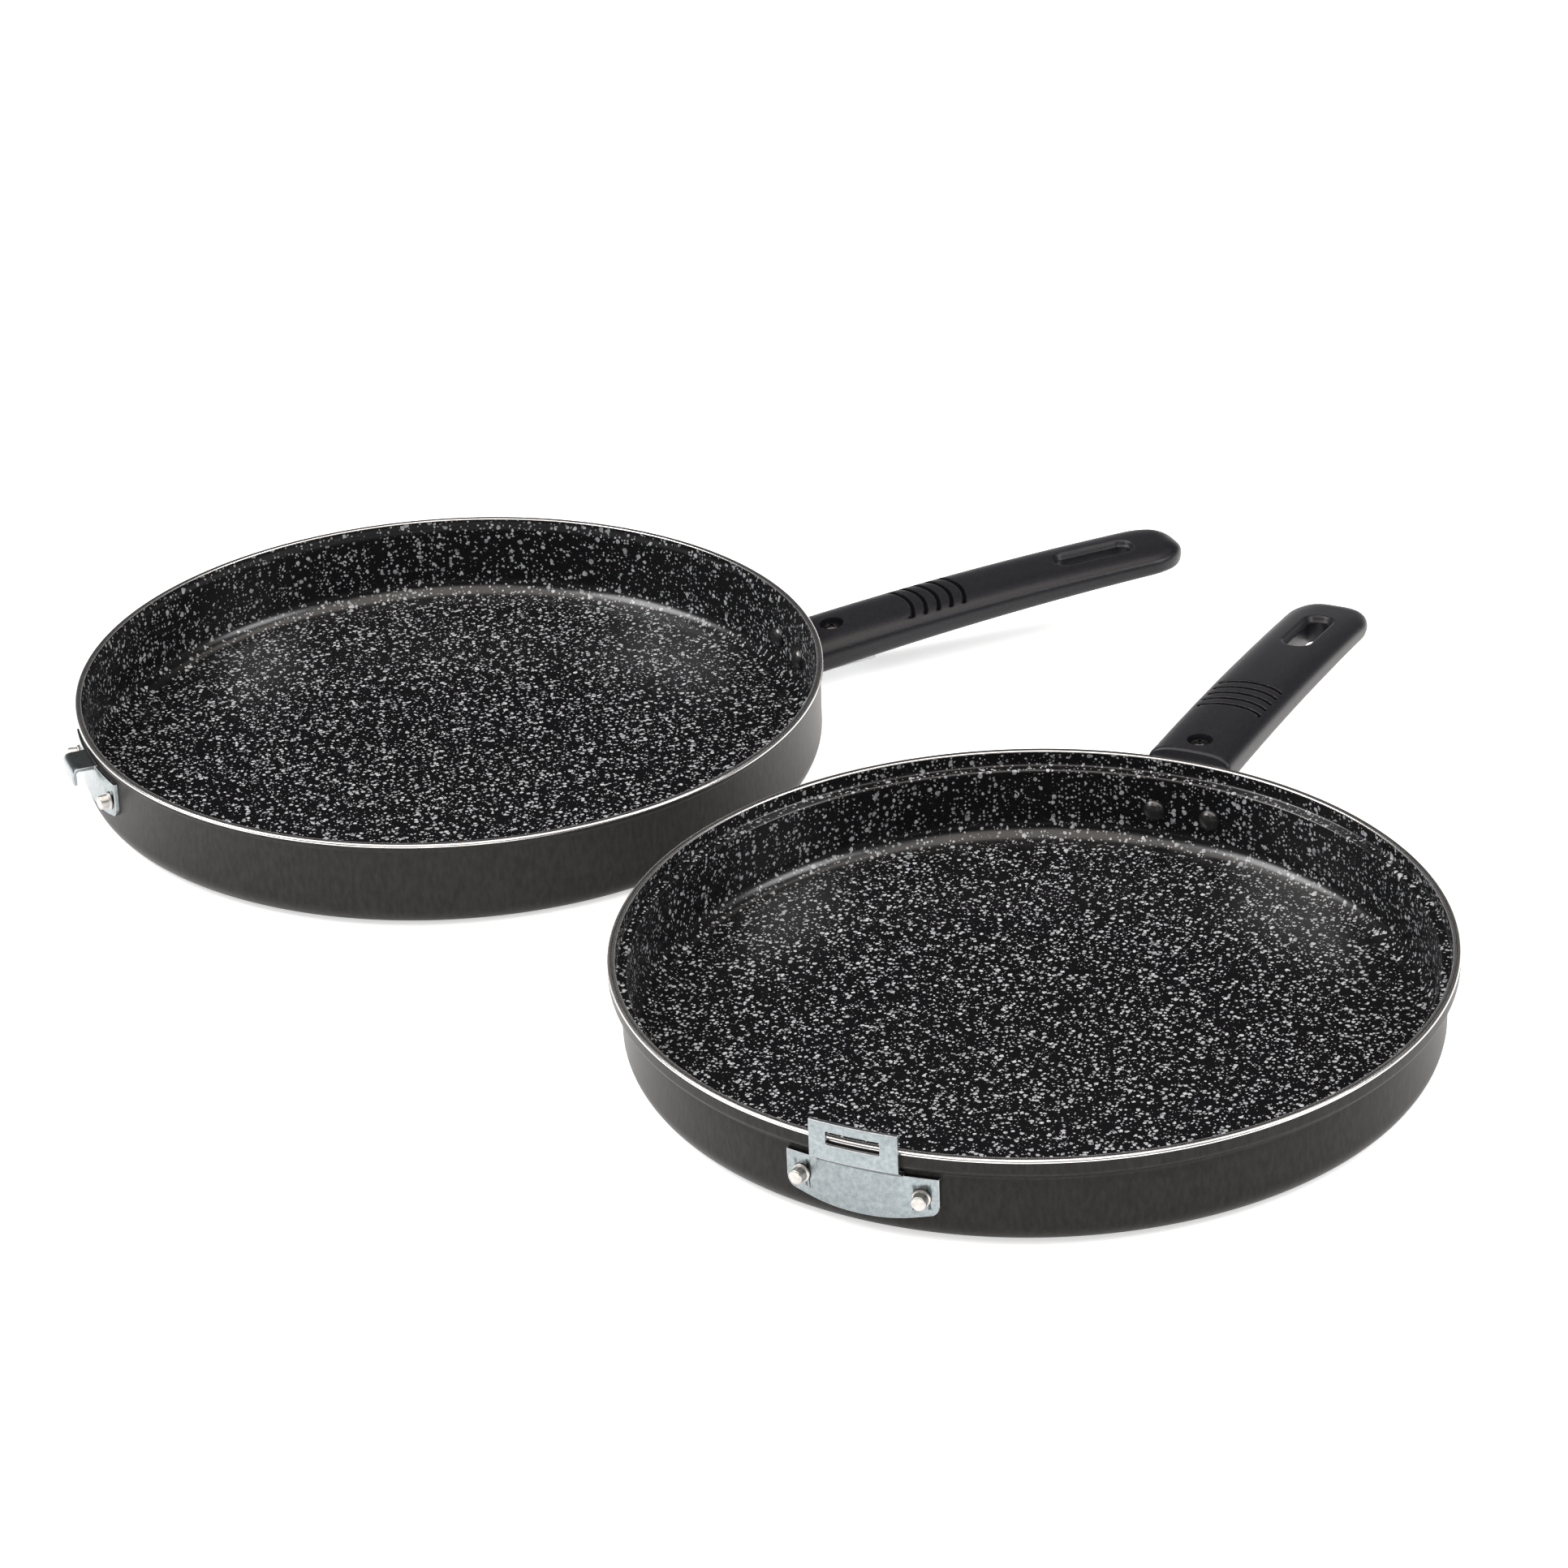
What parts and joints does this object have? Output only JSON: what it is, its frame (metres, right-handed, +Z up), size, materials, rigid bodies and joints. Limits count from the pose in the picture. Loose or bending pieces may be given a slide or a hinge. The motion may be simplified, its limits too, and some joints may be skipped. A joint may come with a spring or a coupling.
{
  "type": "double sided flip pan",
  "caption": "Round shallow frying pan whose nesting halves close rim to rim, with a hook and slot catch at the front and long handles that pair into one grip.",
  "frame": {"origin": "middle of the slot half's base, on the table", "axes": "+Z up, +Y along the line the hook half is turned over, towards the handles, +X from the hook half to the slot half"},
  "size_m": [0.5744, 0.4138, 0.0406],
  "materials": {
    "pan": "taupe lacquer outside, speckled black non-stick inside, bare rim",
    "catch_plate": "zinc plated",
    "catch_rivets": "bright",
    "bracket": "plain",
    "bracket_rivets": "black coated, satin",
    "handle": "fine matt phenolic",
    "screw": "gloss black"
  },
  "bodies": {
    "slot_half": {"slot_pan": "pan", "slot_plate": "catch_plate", "slot_plate_rivet_left": "catch_rivets", "slot_plate_rivet_right": "catch_rivets", "slot_bracket": "bracket", "slot_bracket_rivet_left": "bracket_rivets", "slot_bracket_rivet_right": "bracket_rivets", "slot_handle": "handle", "slot_handle_screw": "screw"},
    "hook_half": {"hook_pan": "pan", "hook_plate": "catch_plate", "hook_plate_rivet_left": "catch_rivets", "hook_plate_rivet_right": "catch_rivets", "hook_bracket": "bracket", "hook_bracket_rivet_left": "bracket_rivets", "hook_bracket_rivet_right": "bracket_rivets", "hook_handle": "handle", "hook_handle_screw": "screw"}
  },
  "joints": [
    {"name": "turn_over", "type": "hinge", "parent": "slot_half", "child": "hook_half", "pos_m": [-0.149, 0, 0.0311], "axis": [0, 1, 0], "range_deg": [0, 180]}
  ]
}
